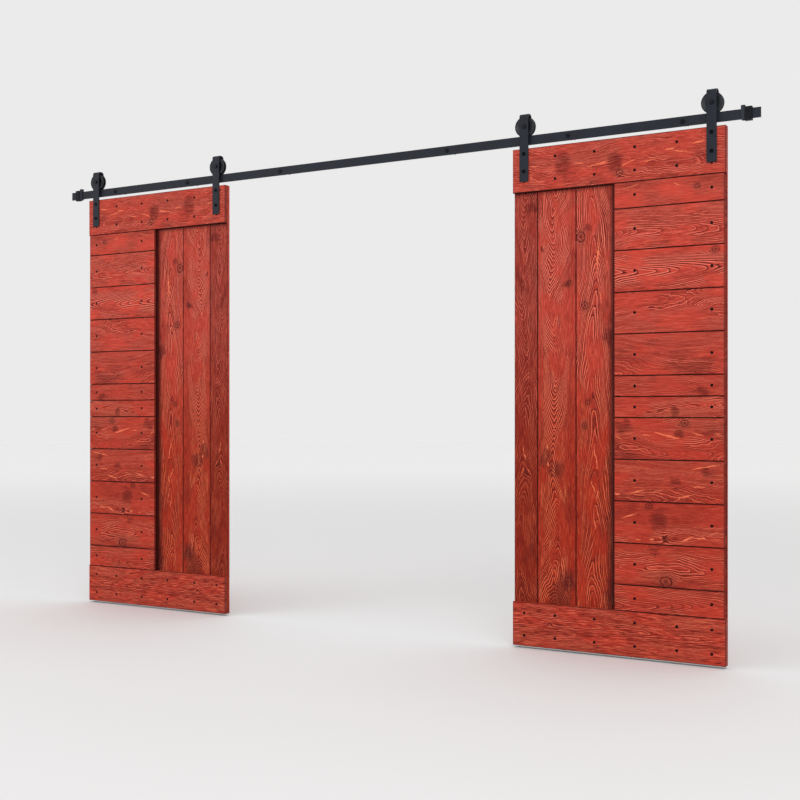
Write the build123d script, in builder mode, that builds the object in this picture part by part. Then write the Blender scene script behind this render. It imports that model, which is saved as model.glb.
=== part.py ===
from build123d import *
import os

# Double sliding barn door: two plank leaves hang by wheels on one flat steel rail.
#
# Lengths are in millimetres. X runs along the rail, the front faces -Y, the wall is the plane
# Y = 0, and Z points up. The origin lies on the wall, behind the middle of the rail.
# A place on a leaf is given by s, which counts from its inner edge, the one that meets the other
# leaf when the door is closed. The two leaves mirror each other, and side is -1 for the left one
# and 1 for the right one. Both stand open, at the ends of the rail.

# Rail, spacers and lag screws
rail_length = 3658
rail_height = 40
rail_thickness = 6
spacer_length = 34
spacer_radius = 12.5
lag_end_distance = 309
outer_lag_pitch = 490
inner_lag_pitch = 575
lag_shank_radius = 4
lag_thread_radius = 3.5
lag_thread_length = 42
lag_tip_length = 8
lag_head_flats = 16
lag_head_thickness = 5
lag_clearance = 0.5

# End stops, each a steel block on the rail with a rubber bumper towards the wheel
stop_end_distance = 33
stop_length = 28
stop_wall = 7
stop_rounding = 2
bumper_length = 15
bumper_rise = 14.4
bumper_wall = 4
bumper_chamfer = 3
stop_clearance = 0.2
set_screw_radius = 6
set_screw_height = 8
set_screw_proud = 0.8
set_screw_socket = 6
set_screw_socket_depth = 4

# Leaves: a back layer of vertical planks and a front layer of boards and horizontal planks
leaf_width = 914
leaf_height = 2134
leaf_end_distance = 134
leaf_below_rail = 16
back_thickness = 19
front_thickness = 19
side_plank_width = 108
middle_back_planks = 4
board_height = 187
end_plank_height = 108
centre_plank_height = 86
wide_planks = 4
plank_end_inset = 5
plank_gap = 1
plank_chamfer = 1.5

# Hanger straps, one bar bent over each wheel
strap_width = 40
strap_thickness = 6
strap_inset = 54
strap_on_leaf = 142
strap_over_wheel = 4
strap_bend_radius = 8
strap_toe = 22

# Strap bolts and the hex nuts behind the leaf
bolt_below_top = 23
bolt_spacing = 75
bolt_radius = 4
bolt_head_radius = 8
bolt_head_height = 4
bolt_head_chamfer = 1.5
bolt_socket = 5
bolt_socket_depth = 2
bolt_end = 1
nut_flats = 13
nut_thickness = 6.5
thread_clearance = 0.05
hole_clearance = 0.3

# Wheels, turning on a bearing between the two legs of the strap
wheel_width = 22
rolling_radius = 39
rolling_clearance = 0.3
flange_height = 5
flange_taper = 1
groove_clearance = 1
rim_width = 4
dish_width = 12
web_thickness = 12
bearing_radius = 13
bearing_width = 10
bearing_lip = 1.5
inner_ring_wall = 3
bearing_clearance = 0.08
wheel_side_clearance = 2
axle_radius = 5
axle_head_flats = 17
axle_head_thickness = 6.5
axle_nut_thickness = 8
axle_end = 2

# Depths, from the wall towards the front
rail_back = -spacer_length
rail_middle = rail_back - rail_thickness / 2
rail_front = rail_back - rail_thickness
strap_half_gap = wheel_width / 2 + wheel_side_clearance
leaf_front = rail_middle - strap_half_gap
leaf_layers = leaf_front + front_thickness
leaf_back = leaf_layers + back_thickness
strap_front = leaf_front - strap_thickness
rear_leg_front = rail_middle + strap_half_gap
rear_leg_back = rear_leg_front + strap_thickness

# Heights
leaf_top = -rail_height / 2 - leaf_below_rail
leaf_bottom = leaf_top - leaf_height
axle_height = rail_height / 2 + rolling_clearance + rolling_radius
wheel_radius = rolling_radius + flange_height
strap_head = axle_height + wheel_radius + strap_over_wheel + strap_thickness
strap_foot = leaf_top - strap_on_leaf
strap_toe_height = axle_height - strap_toe

# Places along the rail
outer_lag = rail_length / 2 - lag_end_distance
middle_lag = outer_lag - outer_lag_pitch
inner_lag = middle_lag - inner_lag_pitch
lag_spots = [(side * x, 0) for x in (inner_lag, middle_lag, outer_lag) for side in (-1, 1)]
lag_hole_radius = lag_shank_radius + lag_clearance
stop_middle = rail_length / 2 - stop_end_distance - stop_length / 2
bumper_middle = stop_middle - (stop_length + bumper_length) / 2
inner_edge = rail_length / 2 - leaf_end_distance - leaf_width
strap_places = {"inner": strap_inset, "outer": leaf_width - strap_inset}
bolt_heights = (leaf_top - bolt_below_top, leaf_top - bolt_below_top - bolt_spacing)


def facing(y):
    """The plane at depth y that faces the front, so its sketches read X and Z."""
    return Plane.XZ.offset(-y)


def turning(x, z):
    """The plane of a turned piece's half section: radius along X, depth along Y."""
    return Plane(origin=(x, 0, z), x_dir=(1, 0, 0), z_dir=(0, 0, 1))


def spindle(x, z):
    """The axis that a turned piece at this place has."""
    return Axis((x, 0, z), (0, 1, 0))


def save(builder, name):
    builder.part.label = name
    export_step(builder.part, f"parts/{name}.step")


def make_rail():
    with BuildPart() as rail_bar:
        with BuildSketch(facing(rail_back)):
            Rectangle(rail_length, rail_height)
            with Locations(*lag_spots):
                Circle(lag_hole_radius, mode=Mode.SUBTRACT)
        extrude(amount=rail_thickness)
    save(rail_bar, "rail_bar")


def make_spacers():
    with BuildPart() as rail_spacers:
        with BuildSketch(facing(0)):
            with Locations(*lag_spots):
                Circle(spacer_radius)
                Circle(lag_hole_radius, mode=Mode.SUBTRACT)
        extrude(amount=spacer_length)
    save(rail_spacers, "rail_spacers")


def make_lag_screws():
    with BuildPart() as lag_screws:
        for x, z in lag_spots:
            with BuildSketch(turning(x, z)):
                with BuildLine():
                    Polyline(
                        (0, rail_front),
                        (lag_shank_radius, rail_front),
                        (lag_shank_radius, 0),
                        (lag_thread_radius, 0),
                        (lag_thread_radius, lag_thread_length),
                        (0, lag_thread_length + lag_tip_length),
                        close=True,
                    )
                make_face()
            revolve(axis=spindle(x, z))
        with BuildSketch(facing(rail_front)):
            with Locations(*lag_spots):
                RegularPolygon(lag_head_flats / 2, 6, major_radius=False)
        extrude(amount=lag_head_thickness)
    save(lag_screws, "lag_screws")


def make_end_stops():
    slot_depth = rail_thickness + 2 * stop_clearance
    slot_height = rail_height + 2 * stop_clearance
    screw_spots = [(side * stop_middle, set_screw_height) for side in (-1, 1)]
    stop_front = rail_front - stop_clearance - stop_wall
    with BuildPart() as end_stops:
        for side in (-1, 1):
            with BuildSketch(Plane.YZ.offset(side * stop_middle)):
                with Locations((rail_middle, 0)):
                    RectangleRounded(slot_depth + 2 * stop_wall, slot_height + 2 * stop_wall, stop_rounding)
                    Rectangle(slot_depth, slot_height, mode=Mode.SUBTRACT)
            extrude(amount=stop_length / 2, both=True)
        with BuildSketch(facing(rail_front)):
            with Locations(*screw_spots):
                Circle(set_screw_radius + thread_clearance)
        extrude(amount=stop_clearance + stop_wall, mode=Mode.SUBTRACT)
    save(end_stops, "end_stops")

    screw_front = stop_front - set_screw_proud
    with BuildPart() as stop_set_screws:
        with BuildSketch(facing(rail_front)):
            with Locations(*screw_spots):
                Circle(set_screw_radius)
        extrude(amount=rail_front - screw_front)
        with BuildSketch(facing(screw_front + set_screw_socket_depth)):
            with Locations(*screw_spots):
                RegularPolygon(set_screw_socket / 2, 6, major_radius=False)
        extrude(amount=set_screw_socket_depth, mode=Mode.SUBTRACT)
    save(stop_set_screws, "stop_set_screws")

    bumper_top = rail_height / 2 + bumper_rise
    bumper_bottom = -slot_height / 2 - bumper_wall
    with BuildPart() as stop_bumpers:
        for side in (-1, 1):
            with BuildSketch(Plane.YZ.offset(side * bumper_middle)):
                with Locations((rail_middle, (bumper_top + bumper_bottom) / 2)):
                    Rectangle(slot_depth + 2 * bumper_wall, bumper_top - bumper_bottom)
                with Locations((rail_middle, 0)):
                    Rectangle(slot_depth, slot_height, mode=Mode.SUBTRACT)
            extrude(amount=bumper_length / 2, both=True)
        lower_edges = stop_bumpers.edges().filter_by(Axis.Y).group_by(Axis.Z)[0]
        chamfer(lower_edges.sort_by(lambda edge: abs(edge.center().X))[:2], bumper_chamfer)
    save(stop_bumpers, "stop_bumpers")


def make_back_plank(name, x_middle, width, holes):
    with BuildPart() as plank:
        with BuildSketch(facing(leaf_back)):
            with Locations((x_middle, (leaf_top + leaf_bottom) / 2)):
                Rectangle(width, leaf_height)
        extrude(amount=back_thickness)
        chamfer(plank.edges().filter_by(Axis.Z), plank_chamfer)
        if holes:
            with BuildSketch(facing(leaf_back)):
                with Locations(*holes):
                    Circle(bolt_radius + hole_clearance)
            extrude(amount=back_thickness, mode=Mode.SUBTRACT)
    save(plank, name)


def make_front_board(name, x_middle, width, z_low, z_high, holes=()):
    with BuildPart() as board:
        with BuildSketch(facing(leaf_layers)):
            with Locations((x_middle, (z_low + z_high) / 2)):
                Rectangle(width, z_high - z_low)
        extrude(amount=front_thickness)
        chamfer(board.faces().sort_by(Axis.Y)[0].edges(), plank_chamfer)
        if holes:
            with BuildSketch(facing(leaf_layers)):
                with Locations(*holes):
                    Circle(bolt_radius + hole_clearance)
            extrude(amount=front_thickness, mode=Mode.SUBTRACT)
    save(board, name)


def make_back_layer(name, side, bolts):
    """Vertical planks side by side, a narrow one at each edge and equal ones between."""
    middle_width = (leaf_width - 2 * side_plank_width) / middle_back_planks
    widths = [side_plank_width] + middle_back_planks * [middle_width] + [side_plank_width]
    s_left = 0
    for number, width in enumerate(widths, 1):
        s_right = s_left + width
        s_low = s_left + (plank_gap / 2 if number > 1 else 0)
        s_high = s_right - (plank_gap / 2 if number < len(widths) else 0)
        holes = [(x, z) for s, x, z in bolts if s_low < s < s_high]
        x_middle = side * (inner_edge + (s_low + s_high) / 2)
        make_back_plank(f"{name}_back_plank_{number}", x_middle, s_high - s_low, holes)
        s_left = s_right


def make_front_layer(name, side, bolts):
    """A board across the top and the bottom, and horizontal planks on the outer half between."""
    x_middle = side * (inner_edge + leaf_width / 2)
    board_low = leaf_top - board_height
    holes = [(x, z) for s, x, z in bolts]
    make_front_board(f"{name}_top_board", x_middle, leaf_width, board_low, leaf_top, holes)
    board_high = leaf_bottom + board_height
    make_front_board(f"{name}_bottom_board", x_middle, leaf_width, leaf_bottom, board_high)

    fixed_heights = 2 * (board_height + end_plank_height + centre_plank_height)
    wide_height = (leaf_height - fixed_heights) / (2 * wide_planks)
    upper_half = [end_plank_height] + wide_planks * [wide_height] + [centre_plank_height]
    plank_length = leaf_width / 2 - plank_end_inset
    plank_middle = side * (inner_edge + leaf_width / 2 + plank_length / 2)
    z_top = board_low
    for number, height in enumerate(upper_half + upper_half[::-1], 1):
        z_bottom = z_top - height
        make_front_board(
            f"{name}_front_plank_{number}",
            plank_middle,
            plank_length,
            z_bottom + plank_gap / 2,
            z_top - plank_gap / 2,
        )
        z_top = z_bottom


def make_strap(name, x):
    """One flat bar: a long leg down the leaf, a bend over the wheel and a short leg behind it."""
    with BuildPart() as strap:
        with BuildSketch(Plane.YZ.offset(x)) as section:
            with BuildLine():
                Polyline(
                    (strap_front, strap_foot),
                    (strap_front, strap_head),
                    (rear_leg_back, strap_head),
                    (rear_leg_back, strap_toe_height),
                    (rear_leg_front, strap_toe_height),
                    (rear_leg_front, strap_head - strap_thickness),
                    (leaf_front, strap_head - strap_thickness),
                    (leaf_front, strap_foot),
                    close=True,
                )
            make_face()
            fillet(section.vertices().group_by(Axis.Y)[-2], strap_bend_radius)
            fillet(section.vertices().group_by(Axis.Y)[-1], strap_bend_radius + strap_thickness)
        extrude(amount=strap_width / 2, both=True)
        with BuildSketch(facing(rear_leg_back)):
            with Locations((x, axle_height)):
                Circle(axle_radius + hole_clearance)
        extrude(amount=rear_leg_back - strap_front, mode=Mode.SUBTRACT)
        with BuildSketch(facing(leaf_front)):
            with Locations(*[(x, z) for z in bolt_heights]):
                Circle(bolt_radius + hole_clearance)
        extrude(amount=strap_thickness, mode=Mode.SUBTRACT)
    save(strap, name)


def make_strap_bolts(name, spots):
    """Button-head bolts through strap and leaf, each with its hex nut behind the leaf."""
    head_front = strap_front - bolt_head_height
    nut_back = leaf_back + nut_thickness
    with BuildPart() as strap_bolts:
        for x, z in spots:
            with BuildSketch(turning(x, z)):
                with BuildLine():
                    Polyline(
                        (0, head_front),
                        (bolt_head_radius - bolt_head_chamfer, head_front),
                        (bolt_head_radius, head_front + bolt_head_chamfer),
                        (bolt_head_radius, strap_front),
                        (bolt_radius, strap_front),
                        (bolt_radius, nut_back + bolt_end),
                        (0, nut_back + bolt_end),
                        close=True,
                    )
                make_face()
            revolve(axis=spindle(x, z))
        with BuildSketch(facing(head_front + bolt_socket_depth)):
            with Locations(*spots):
                RegularPolygon(bolt_socket / 2, 6, major_radius=False)
        extrude(amount=bolt_socket_depth, mode=Mode.SUBTRACT)
        with BuildSketch(facing(nut_back)):
            with Locations(*spots):
                RegularPolygon(nut_flats / 2, 6, major_radius=False)
                Circle(bolt_radius + thread_clearance, mode=Mode.SUBTRACT)
        extrude(amount=nut_thickness)
    save(strap_bolts, name)


def make_axle_bolts(name, spots):
    """Hex bolts that carry the wheels, each with its nut behind the short leg."""
    nut_back = rear_leg_back + axle_nut_thickness
    with BuildPart() as axle_bolts:
        with BuildSketch(facing(nut_back + axle_end)):
            with Locations(*spots):
                Circle(axle_radius)
        extrude(amount=nut_back + axle_end - strap_front)
        with BuildSketch(facing(strap_front)):
            with Locations(*spots):
                RegularPolygon(axle_head_flats / 2, 6, major_radius=False)
        extrude(amount=axle_head_thickness)
        with BuildSketch(facing(nut_back)):
            with Locations(*spots):
                RegularPolygon(axle_head_flats / 2, 6, major_radius=False)
                Circle(axle_radius + thread_clearance, mode=Mode.SUBTRACT)
        extrude(amount=axle_nut_thickness)
    save(axle_bolts, name)


def make_bearing_rings(name, spots):
    """The inner rings of the wheel bearings, each clamped between the two legs of its strap."""
    with BuildPart() as bearing_rings:
        with BuildSketch(facing(rear_leg_front)):
            with Locations(*spots):
                Circle(axle_radius + inner_ring_wall)
                Circle(axle_radius + thread_clearance, mode=Mode.SUBTRACT)
        extrude(amount=2 * strap_half_gap)
    save(bearing_rings, name)


def wheel_section():
    """Half section of a wheel, as radius and depth from its middle, from the hub round the rim."""
    face = wheel_width / 2
    web = web_thickness / 2
    rim_radius = wheel_radius - rim_width
    groove = rail_thickness / 2 + groove_clearance
    lip_radius = bearing_radius - bearing_lip
    front_side = [
        (lip_radius, web),
        (rim_radius - dish_width, web),
        (rim_radius, face),
        (wheel_radius, face),
        (wheel_radius, groove + flange_taper),
        (rolling_radius, groove),
    ]
    back_side = front_side[:0:-1] + [(bearing_radius, web)]
    seat = [(bearing_radius, -bearing_width / 2), (lip_radius, -bearing_width / 2)]
    return [(r, -y) for r, y in front_side] + back_side + seat


def make_wheel(name, x):
    """A grooved wheel, with the outer race of its bearing as a second solid."""
    race_radius = axle_radius + inner_ring_wall + bearing_clearance
    with BuildPart() as wheel:
        with BuildSketch(turning(x, axle_height)):
            with BuildLine():
                Polyline(*[(r, rail_middle + y) for r, y in wheel_section()], close=True)
            make_face()
        revolve(axis=spindle(x, axle_height))
    with BuildPart() as race:
        with BuildSketch(facing(rail_middle + bearing_width / 2)):
            with Locations((x, axle_height)):
                Circle(bearing_radius)
                Circle(race_radius, mode=Mode.SUBTRACT)
        extrude(amount=bearing_width)
    wheel.part = Compound(label=name, children=[wheel.part, race.part])
    export_step(wheel.part, f"parts/{name}.step")


os.makedirs("parts", exist_ok=True)
make_rail()
make_spacers()
make_lag_screws()
make_end_stops()
for leaf, leaf_side in (("left", -1), ("right", 1)):
    strap_x = {which: leaf_side * (inner_edge + s) for which, s in strap_places.items()}
    axle_spots = [(x, axle_height) for x in strap_x.values()]
    bolt_spots = [(x, z) for x in strap_x.values() for z in bolt_heights]
    bolts_on_leaf = [(s, strap_x[which], z) for which, s in strap_places.items() for z in bolt_heights]
    make_back_layer(leaf, leaf_side, bolts_on_leaf)
    make_front_layer(leaf, leaf_side, bolts_on_leaf)
    make_strap_bolts(f"{leaf}_strap_bolts", bolt_spots)
    make_axle_bolts(f"{leaf}_axle_bolts", axle_spots)
    make_bearing_rings(f"{leaf}_bearing_rings", axle_spots)
    for which, x in strap_x.items():
        make_strap(f"{leaf}_{which}_strap", x)
        make_wheel(f"{leaf}_{which}_wheel", x)
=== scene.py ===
"""Looks of a double sliding barn door: red stained pine leaves on black hangers, wheels and rail."""

import math
from typing import NamedTuple

import bmesh
import bpy
from bpy.props import FloatProperty, FloatVectorProperty, PointerProperty
from mathutils import Matrix, Vector


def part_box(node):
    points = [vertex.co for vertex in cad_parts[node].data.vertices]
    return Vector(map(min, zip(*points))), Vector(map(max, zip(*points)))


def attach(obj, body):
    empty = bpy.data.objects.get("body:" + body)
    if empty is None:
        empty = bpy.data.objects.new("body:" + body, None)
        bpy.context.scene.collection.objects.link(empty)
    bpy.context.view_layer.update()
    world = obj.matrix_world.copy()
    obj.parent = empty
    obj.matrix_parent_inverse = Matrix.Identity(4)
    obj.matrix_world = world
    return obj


bl_info = {
    "name": "Double Sliding Barn Door",
    "version": (1, 0, 0),
    "blender": (4, 5, 0),
    "location": "3D View > Sidebar > Barn Door",
    "description": "Dresses a pair of plank leaves, their hangers and their rail",
    "category": "Add Mesh",
}

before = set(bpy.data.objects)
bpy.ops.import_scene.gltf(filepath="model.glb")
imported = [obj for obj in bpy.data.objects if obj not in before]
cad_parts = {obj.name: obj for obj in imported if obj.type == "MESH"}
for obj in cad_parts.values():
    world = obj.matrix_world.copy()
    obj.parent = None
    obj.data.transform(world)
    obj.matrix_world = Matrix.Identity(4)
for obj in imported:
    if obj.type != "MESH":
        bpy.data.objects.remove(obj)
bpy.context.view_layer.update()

# Places on a leaf: s runs outwards from its inner edge, v runs down from its top, both in metres
SIDES = ("left", "right")
WHICH = ("inner", "outer")
BACK_PLANKS = range(1, 7)
FRONT_PLANKS = range(1, 13)
board_low, board_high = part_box("right_top_board")
INNER_EDGE = board_low.x
LEAF_WIDTH = board_high.x - INNER_EDGE
LEAF_TOP = board_high.z
LEAF_FRONT = board_low.y
BOARD_HEIGHT = board_high.z - board_low.z
LEAF_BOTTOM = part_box("right_bottom_board")[0].z
COLUMN_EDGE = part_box("right_front_plank_3")[0].x - INNER_EDGE

# Inputs of every group that reads a place on a plank
PLACE = {"Along": 0.0, "Across": 0.0, "Depth": 0.0}

# How far apart the noises of two neighbouring seeds lie
SEED_STRIDE = 37.1

# Growth rings wave at these scales along and across the grain, each time with a height in metres
RING_WAVES = ((2.6, 4.0, 0.11), (5.5, 16.0, 0.05), (26.0, 70.0, 0.009))

# From about this far beside its axis, in metres, an arch runs along the plank
STRAIGHTENING = 0.16

# How close the rings lie is measured over this length, in metres
RING_STEP = 0.0015

# The bright line of a ring: its place in the ring, half its width in metres and its limit as part of a ring
LINE_PLACE = 0.35
LINE_HALF_WIDTH = 0.0019
LINE_LIMIT = 0.2

# A knot: what a length along the grain counts, how it wobbles, how its lift falls off and how high it starts
KNOT_SQUEEZE = 0.85
KNOT_WOBBLE = 0.6
KNOT_FALL = -0.32
KNOT_LIFT = 1.7

# How much stronger the ring lines are in a knot
KNOT_LINES = 2.2

# How far the edge of a flame and that of a smudge swing, in metres
FLAME_SWING = 0.016
SMUDGE_SWING = 0.1

# Dark joints, painted shade beside the horizontal planks and a painted shadow under the top board, in metres
# from the corner: where each starts and where it is full
AT_JOINT = (0.0034, 0.0015)
BESIDE_COLUMN = (0.036, 0.006)
UNDER_BOARD = (0.025, 0.004)
LINE_UNDER_BOARD = (0.006, 0.002)

# The painted shade beside the horizontal planks starts this much farther out at the foot
WIDER_AT_FOOT = 0.012

# The inner end of a horizontal plank: how near to COLUMN_EDGE it lies, and the depths where painted shade
# darkens it
END_REACH = 0.005
END_DEPTHS = (0.003, 0.015)

# Between these heights, as v, the colours turn to the darker, more orange ones of the foot
FOOT = (0.5, 1.5)

# Painted light on a plank's sides: they are at least as light as this
PAINTED_SIDE_LIGHT = 0.9

# How much a face looks in a direction when it starts to count as facing it, and when it does so fully
FACING = (0.9, 0.99)

# Colours of dust, of the painted highlight on slanting faces and of ground steel
DUST = (0.2, 0.2, 0.2, 1)
PAINTED_SLANT_HIGHLIGHT = (0.15, 0.17, 0.2, 1)
BEARING_STEEL = (0.45, 0.45, 0.47, 1)


class Knot(NamedTuple):
    """A knot by its place on the plank and its radius."""

    along: float
    across: float
    radius: float


class Mark(NamedTuple):
    """A flame or a smudge by its middle, half its length, half its width and its slope."""

    along: float
    across: float
    half_length: float
    half_width: float
    slope: float = 0.0


class Figure(NamedTuple):
    """How one plank was sawn and stained.

    Places along a plank count from s = 0 or v = 0, and places across it from its middle. The rings are
    arches on an axis, with rounded tips that point away from the turn, or towards it where the slope is
    negative. Spacing lies between two rings, warp tells how much they wave, and their lines show within the
    band, a strip on each side of the axis. Tone is how light the plank is. Lines, streaks and grain are how
    strong its ring lines, its small resin streaks and its fibres are. Flames are large single streaks, and
    smudges are spots that took more stain."""

    seed: float
    axis: float
    rounding: float
    slope: float
    turn: float
    spacing: float
    lines: float
    warp: float = 1.0
    tone: float = 1.0
    streaks: float = 0.2
    band: float = 0.3
    grain: float = 0.5
    knots: tuple = ()
    flames: tuple = ()
    smudges: tuple = ()


FIGURES = {
    "back_plank_1": Figure(
        seed=1, axis=-0.01, rounding=0.006, slope=-0.4, turn=0.9, spacing=0.012, lines=0.32, warp=1.2,
        tone=0.54, streaks=0.1,
        knots=(Knot(1.395, 0.0, 0.009),),
        flames=(Mark(1.306, -0.009, 0.03, 0.0018, 0.2),),
        smudges=(Mark(0.253, 0.03, 0.02, 0.025),),
    ),
    "back_plank_2": Figure(
        seed=2, axis=-0.005, rounding=0.006, slope=-0.42, turn=1.2, spacing=0.0095, lines=1.2, tone=0.89,
        streaks=0.6, band=0.06, grain=0.65,
        knots=(Knot(0.586, 0.055, 0.009), Knot(1.847, 0.053, 0.015)),
        flames=(Mark(1.278, -0.042, 0.011, 0.0026), Mark(1.352, -0.04, 0.013, 0.0028)),
        smudges=(
            Mark(1.328, -0.049, 0.041, 0.03), Mark(0.589, 0.051, 0.014, 0.02),
            Mark(0.435, -0.064, 0.012, 0.01), Mark(1.851, 0.047, 0.05, 0.041),
            Mark(1.372, -0.003, 0.034, 0.037), Mark(1.93, 0.02, 0.075, 0.05),
        ),
    ),
    "back_plank_3": Figure(
        seed=3, axis=-0.006, rounding=0.008, slope=-0.2, turn=-0.2, spacing=0.0115, lines=0.9, warp=0.9,
        tone=0.94, streaks=0.6, band=0.08, grain=0.75,
        knots=(
            Knot(0.394, -0.065, 0.017), Knot(0.684, -0.046, 0.012), Knot(1.09, -0.035, 0.009),
            Knot(1.187, -0.05, 0.01),
        ),
        flames=(
            Mark(0.49, 0.009, 0.072, 0.0038, -0.05), Mark(0.645, 0.02, 0.036, 0.0022, 0.25),
            Mark(1.3, -0.004, 0.03, 0.0024, 0.1), Mark(1.344, 0.003, 0.026, 0.002, 0.12),
            Mark(1.446, -0.01, 0.03, 0.0024, 0.3), Mark(1.475, 0.008, 0.02, 0.002, -0.1),
            Mark(1.593, -0.004, 0.03, 0.0024, 0.1),
        ),
        smudges=(
            Mark(0.356, -0.033, 0.014, 0.018), Mark(0.82, 0.061, 0.037, 0.022),
            Mark(1.9, 0.065, 0.08, 0.025),
        ),
    ),
    "back_plank_4": Figure(
        seed=4, axis=0.02, rounding=0.01, slope=0.3, turn=0.0, spacing=0.01, lines=0.7, tone=0.9,
        streaks=0.3,
        knots=(Knot(0.7, 0.03, 0.016),),
    ),
    "back_plank_5": Figure(
        seed=5, axis=-0.03, rounding=0.01, slope=-0.25, turn=1.3, spacing=0.011, lines=0.7, warp=1.1,
        tone=0.88, streaks=0.3,
        knots=(Knot(1.2, -0.04, 0.018),),
    ),
    "back_plank_6": Figure(
        seed=6, axis=0.0, rounding=0.01, slope=0.3, turn=0.4, spacing=0.01, lines=0.6, tone=0.85,
        streaks=0.3,
        knots=(Knot(1.7, 0.01, 0.014),),
    ),
    "front_plank_1": Figure(
        seed=11, axis=0.09, rounding=0.05, slope=0.05, turn=0.4, spacing=0.01, lines=0.35, streaks=0.1,
        grain=0.3,
        knots=(Knot(0.803, -0.011, 0.009),),
        flames=(Mark(0.526, -0.032, 0.034, 0.002, -0.24), Mark(0.719, -0.026, 0.016, 0.0018, 0.38)),
    ),
    "front_plank_2": Figure(
        seed=12, axis=0.015, rounding=0.008, slope=0.16, turn=0.3, spacing=0.0085, lines=0.7, warp=0.6,
        tone=1.03, streaks=0.1, grain=0.8,
    ),
    "front_plank_3": Figure(
        seed=13, axis=0.002, rounding=0.006, slope=0.2, turn=0.3, spacing=0.0108, lines=1.7, warp=0.45,
        tone=1.1, band=0.06, grain=0.45,
        knots=(Knot(0.875, -0.066, 0.011),),
    ),
    "front_plank_4": Figure(
        seed=14, axis=-0.06, rounding=0.02, slope=0.12, turn=0.4, spacing=0.008, lines=0.6, warp=1.3,
        tone=0.96,
    ),
    "front_plank_5": Figure(
        seed=15, axis=0.09, rounding=0.04, slope=-0.1, turn=1.3, spacing=0.009, lines=0.4, warp=1.1,
        streaks=0.1,
    ),
    "front_plank_6": Figure(
        seed=16, axis=0.07, rounding=0.03, slope=0.04, turn=0.4, spacing=0.009, lines=0.35, tone=0.95,
        grain=0.35,
        smudges=(Mark(0.815, 0.026, 0.036, 0.014),),
    ),
    "front_plank_7": Figure(
        seed=17, axis=0.0, rounding=0.004, slope=0.12, turn=0.68, spacing=0.0085, lines=1.0, warp=1.2,
        tone=0.98, streaks=0.3,
        smudges=(Mark(0.712, 0.021, 0.016, 0.018),),
    ),
    "front_plank_8": Figure(
        seed=18, axis=0.05, rounding=0.02, slope=0.1, turn=0.5, spacing=0.0095, lines=0.55, warp=1.2,
        knots=(Knot(0.752, -0.063, 0.012),),
        flames=(
            Mark(0.594, -0.015, 0.018, 0.0028, -0.07), Mark(0.679, -0.012, 0.056, 0.0034, 0.24),
            Mark(0.805, -0.019, 0.026, 0.0024, 0.39), Mark(0.476, -0.004, 0.016, 0.002, 0.36),
            Mark(0.885, -0.019, 0.018, 0.002, 0.23),
        ),
        smudges=(Mark(0.498, -0.047, 0.034, 0.026), Mark(0.729, -0.026, 0.02, 0.016)),
    ),
    "front_plank_9": Figure(
        seed=19, axis=0.09, rounding=0.03, slope=-0.1, turn=1.2, spacing=0.009, lines=0.55, warp=1.2,
        tone=1.03,
        flames=(
            Mark(0.83, -0.06, 0.064, 0.003, -0.18), Mark(0.472, 0.056, 0.014, 0.003, 0.06),
            Mark(0.554, 0.045, 0.038, 0.0024, -0.28), Mark(0.641, 0.04, 0.022, 0.0018, -0.24),
            Mark(0.757, 0.059, 0.038, 0.0022, -0.21), Mark(0.811, 0.02, 0.03, 0.0018, -0.06),
        ),
        smudges=(Mark(0.845, -0.038, 0.024, 0.016), Mark(0.715, 0.006, 0.02, 0.018)),
    ),
    "front_plank_10": Figure(
        seed=20, axis=0.065, rounding=0.006, slope=0.12, turn=0.66, spacing=0.0085, lines=0.7, warp=1.2,
        tone=0.93, band=0.06,
        knots=(Knot(0.604, -0.07, 0.011), Knot(0.672, 0.063, 0.01)),
        flames=(
            Mark(0.522, -0.027, 0.036, 0.0024, -0.34), Mark(0.617, 0.065, 0.012, 0.0036, -0.15),
            Mark(0.764, 0.057, 0.028, 0.003, -0.38), Mark(0.813, 0.053, 0.032, 0.0028, -0.02),
            Mark(0.865, 0.031, 0.023, 0.002, -0.45), Mark(0.559, 0.067, 0.012, 0.0022, 0.13),
        ),
        smudges=(Mark(0.643, -0.017, 0.034, 0.036),),
    ),
    "front_plank_11": Figure(
        seed=21, axis=0.008, rounding=0.006, slope=0.1, turn=0.73, spacing=0.01, lines=0.8, warp=0.8,
        tone=0.97, streaks=0.3, band=0.06,
        knots=(Knot(0.676, 0.062, 0.019),),
        smudges=(Mark(0.624, -0.065, 0.025, 0.014),),
    ),
    "front_plank_12": Figure(
        seed=22, axis=0.02, rounding=0.005, slope=0.2, turn=0.42, spacing=0.01, lines=0.55, warp=0.7,
        grain=0.6,
    ),
    "top_board": Figure(
        seed=31, axis=0.03, rounding=0.03, slope=0.08, turn=0.3, spacing=0.009, lines=0.45, warp=1.5,
        tone=0.89, grain=0.7,
        knots=(Knot(0.481, 0.0515, 0.011), Knot(0.358, 0.082, 0.005)),
        flames=(
            Mark(0.383, 0.008, 0.049, 0.0034, -0.18), Mark(0.301, -0.005, 0.028, 0.0018, 0.1),
            Mark(0.518, 0.014, 0.035, 0.0034, -0.34), Mark(0.475, 0.049, 0.02, 0.002, -0.33),
            Mark(0.601, 0.014, 0.02, 0.0018, -0.24), Mark(0.692, -0.024, 0.022, 0.0034, -0.08),
            Mark(0.734, -0.008, 0.048, 0.002, 0.15), Mark(0.808, -0.038, 0.027, 0.0024, -0.13),
            Mark(0.101, -0.013, 0.025, 0.0018, 0.09),
        ),
        smudges=(Mark(0.231, -0.009, 0.032, 0.048), Mark(0.459, 0.007, 0.028, 0.04)),
    ),
    "bottom_board": Figure(
        seed=32, axis=-0.0105, rounding=0.01, slope=0.045, turn=0.171, spacing=0.0085, lines=0.5,
        warp=0.6, tone=0.96, streaks=0.5, grain=1.3,
        knots=(Knot(0.171, -0.0105, 0.006),),
    ),
}


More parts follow.
